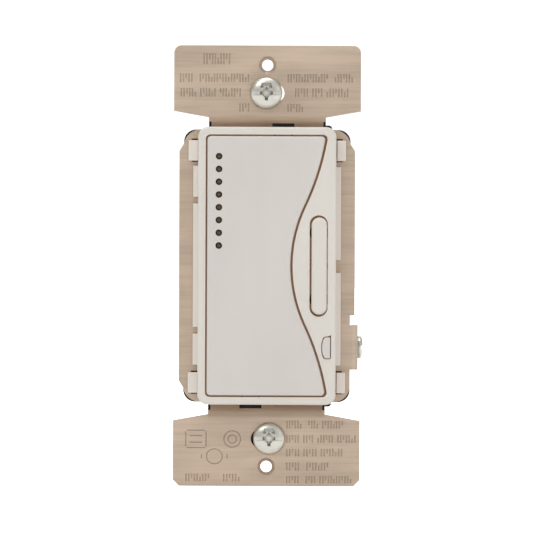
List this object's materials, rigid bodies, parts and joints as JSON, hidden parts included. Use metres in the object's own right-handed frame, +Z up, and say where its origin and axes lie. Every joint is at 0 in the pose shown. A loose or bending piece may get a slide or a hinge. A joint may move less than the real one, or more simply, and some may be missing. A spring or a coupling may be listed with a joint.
{
  "type": "wall dimmer switch",
  "caption": "Decorator wall dimmer on a metal strap: tap paddle with indicator lights, slim dimming rocker, pull-out air-gap tab and screw terminals.",
  "frame": {"origin": "on the wall plane, midway between the two cover-plate screw holes", "axes": "+X right as seen from the room, +Y into the wall box, +Z up"},
  "size_m": [0.0458, 0.0372, 0.1062],
  "materials": {
    "strap": "brushed crosswise, warm grey",
    "face_plastic": "satin moulded, light almond",
    "ivory_plastic": "satin moulded, light almond",
    "light_pipe": "smoked clear acrylic",
    "silicone": "matte translucent silicone",
    "led": "clear cast resin",
    "circuit_board": "green solder mask",
    "chip_black": "moulded epoxy",
    "tinned": "tin plated",
    "zinc_screw": "clear zinc plated",
    "core_coat": "enamelled powdered iron",
    "copper": "enamelled copper wire",
    "capacitor_film": "moulded case",
    "capacitor_can": "sleeved can",
    "varistor_blue": "dipped epoxy",
    "fuse_body": "ceramic",
    "brass": "bright brass",
    "black_plastic": "fine moulded texture",
    "black_fibre": "vulcanised fibre"
  },
  "bodies": {
    "root": {"airgap_contact": "brass", "airgap_leaf": "brass", "bezel": "face_plastic", "board_header": "chip_black", "carrier_frame": "ivory_plastic", "chip_leads": "tinned", "choke_core": "core_coat", "choke_winding": "copper", "control_board": "circuit_board", "controller_chip": "chip_black", "electrolytic_capacitor": "capacitor_can", "film_capacitor": "capacitor_film", "fuse": "fuse_body", "housing_screws": "zinc_screw", "indicator_leds": "led", "insulator_pad": "silicone", "keypad": "silicone", "light_pipe": "light_pipe", "line_terminal": "brass", "load_terminal": "brass", "power_board": "circuit_board", "rear_housing": "black_plastic", "strap": "strap", "transistor_bodies": "chip_black", "transistor_legs": "tinned", "transistor_screws": "zinc_screw", "transistor_tabs": "tinned", "traveller_terminal": "brass", "varistor": "varistor_blue"},
    "paddle": {"paddle": "face_plastic"},
    "rocker": {"rocker": "face_plastic"},
    "airgap_tab": {"airgap_tab": "face_plastic"},
    "top_retainer": {"top_retainer": "black_fibre"},
    "top_mounting_screw": {"top_mounting_screw": "zinc_screw"},
    "bottom_retainer": {"bottom_retainer": "black_fibre"},
    "bottom_mounting_screw": {"bottom_mounting_screw": "zinc_screw"},
    "line_clamp": {"line_clamp": "zinc_screw"},
    "line_screw": {"line_screw": "brass"},
    "traveller_clamp": {"traveller_clamp": "zinc_screw"},
    "traveller_screw": {"traveller_screw": "brass"},
    "load_clamp": {"load_clamp": "zinc_screw"},
    "load_screw": {"load_screw": "brass"},
    "ground_washer": {"ground_washer": "zinc_screw"},
    "ground_screw": {"ground_screw": "zinc_screw"}
  },
  "joints": [
    {"name": "paddle_press", "type": "hinge", "parent": "root", "child": "paddle", "pos_m": [0, -0.0032, 0.0292], "axis": [1, 0, 0], "range_deg": [0, 1.2], "deforming": ["keypad"]},
    {"name": "rocker_tilt", "type": "hinge", "parent": "root", "child": "rocker", "pos_m": [0.0126, -0.0042, 0], "axis": [1, 0, 0], "range_deg": [-3.5, 3.5], "deforming": ["keypad"]},
    {"name": "airgap_pull", "type": "slide", "parent": "root", "child": "airgap_tab", "axis": [0, -1, 0], "range_m": [0, 0.003], "deforming": ["airgap_leaf"]},
    {"name": "top_screw_shift", "type": "slide", "parent": "root", "child": "top_retainer", "axis": [1, 0, 0], "range_m": [-0.00202, 0.00258]},
    {"name": "top_screw_turn", "type": "hinge", "parent": "top_retainer", "child": "top_mounting_screw", "pos_m": [-0.00028, 0, 0.04167], "axis": [0, -1, 0], "continuous": true},
    {"name": "bottom_screw_shift", "type": "slide", "parent": "root", "child": "bottom_retainer", "axis": [1, 0, 0], "range_m": [-0.00259, 0.00163]},
    {"name": "bottom_screw_turn", "type": "hinge", "parent": "bottom_retainer", "child": "bottom_mounting_screw", "pos_m": [0.00067, 0, -0.04167], "axis": [0, -1, 0], "continuous": true},
    {"name": "line_clamp_lift", "type": "slide", "parent": "root", "child": "line_clamp", "axis": [-1, 0, 0], "range_m": [0, 0.0017]},
    {"name": "line_screw_turn", "type": "hinge", "parent": "line_clamp", "child": "line_screw", "pos_m": [-0.016, 0.0156, 0.013], "axis": [-1, 0, 0], "range_deg": [0, 775]},
    {"name": "traveller_clamp_lift", "type": "slide", "parent": "root", "child": "traveller_clamp", "axis": [-1, 0, 0], "range_m": [0, 0.0017]},
    {"name": "traveller_screw_turn", "type": "hinge", "parent": "traveller_clamp", "child": "traveller_screw", "pos_m": [-0.016, 0.0156, -0.013], "axis": [-1, 0, 0], "range_deg": [0, 775]},
    {"name": "load_clamp_lift", "type": "slide", "parent": "root", "child": "load_clamp", "axis": [1, 0, 0], "range_m": [0, 0.0017]},
    {"name": "load_screw_turn", "type": "hinge", "parent": "load_clamp", "child": "load_screw", "pos_m": [0.016, 0.0156, 0.013], "axis": [1, 0, 0], "range_deg": [0, 775]},
    {"name": "ground_washer_lift", "type": "slide", "parent": "root", "child": "ground_washer", "axis": [1, 0, 0], "range_m": [0, 0.0028]},
    {"name": "ground_screw_turn", "type": "hinge", "parent": "ground_washer", "child": "ground_screw", "pos_m": [0.022, 0.0096, -0.0196], "axis": [1, 0, 0], "range_deg": [0, 1275]}
  ],
  "couplings": [
    {"joint": "line_screw_turn", "follows": "line_clamp_lift", "rad_per_m": 7915.8},
    {"joint": "traveller_screw_turn", "follows": "traveller_clamp_lift", "rad_per_m": 7915.8},
    {"joint": "load_screw_turn", "follows": "load_clamp_lift", "rad_per_m": 7915.8},
    {"joint": "ground_screw_turn", "follows": "ground_washer_lift", "rad_per_m": 7915.8}
  ]
}
